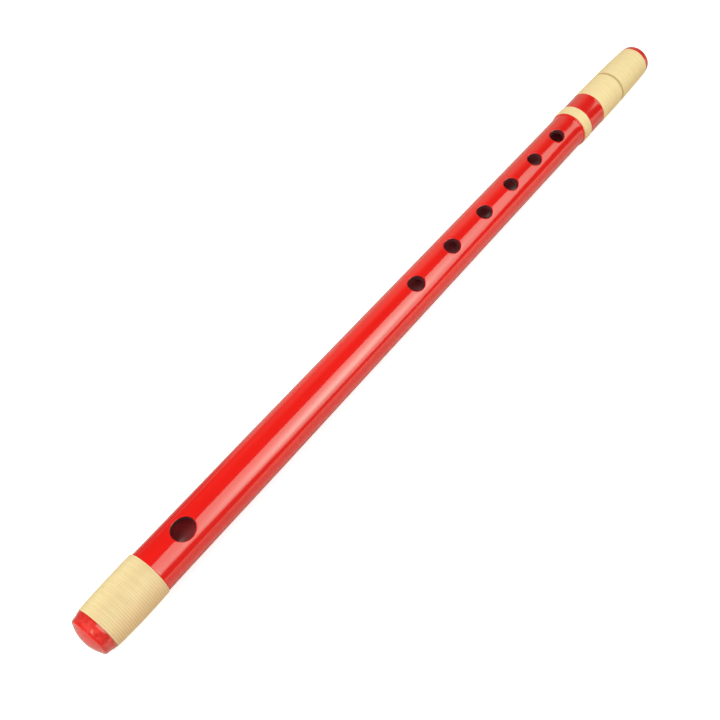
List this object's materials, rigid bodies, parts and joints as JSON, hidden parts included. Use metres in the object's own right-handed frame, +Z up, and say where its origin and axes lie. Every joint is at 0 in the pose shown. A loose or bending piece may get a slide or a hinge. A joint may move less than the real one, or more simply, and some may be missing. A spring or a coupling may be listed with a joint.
{
  "type": "shinobue",
  "caption": "Side-blown bamboo flute in red lacquer, closed and domed at the head, open at the tail, bound with rattan at both ends and in a narrow band.",
  "frame": {"origin": "bottom centre of the bounding box, on the level that the flute lies on", "axes": "+X from the closed head to the open tail, +Z up through the mouth hole and finger holes. The bore falls 0.16 degrees towards the tail, because the flute lies on its head winding and its band."},
  "size_m": [0.43, 0.0228, 0.0226],
  "materials": {
    "lacquered_bamboo": "glossy red lacquer on bamboo, dark red inside the bore",
    "head_lacquer": "glossy red lacquer on a turned wooden plug",
    "cork": "matt cork",
    "rattan": "satin split rattan strip, pale straw colour"
  },
  "bodies": {
    "root": {"bamboo_tube": "lacquered_bamboo", "head_plug": "head_lacquer", "stopper": "cork", "head_winding": "rattan", "band_winding": "rattan", "tail_winding_front": "rattan", "tail_winding_rear": "rattan"}
  },
  "joints": []
}
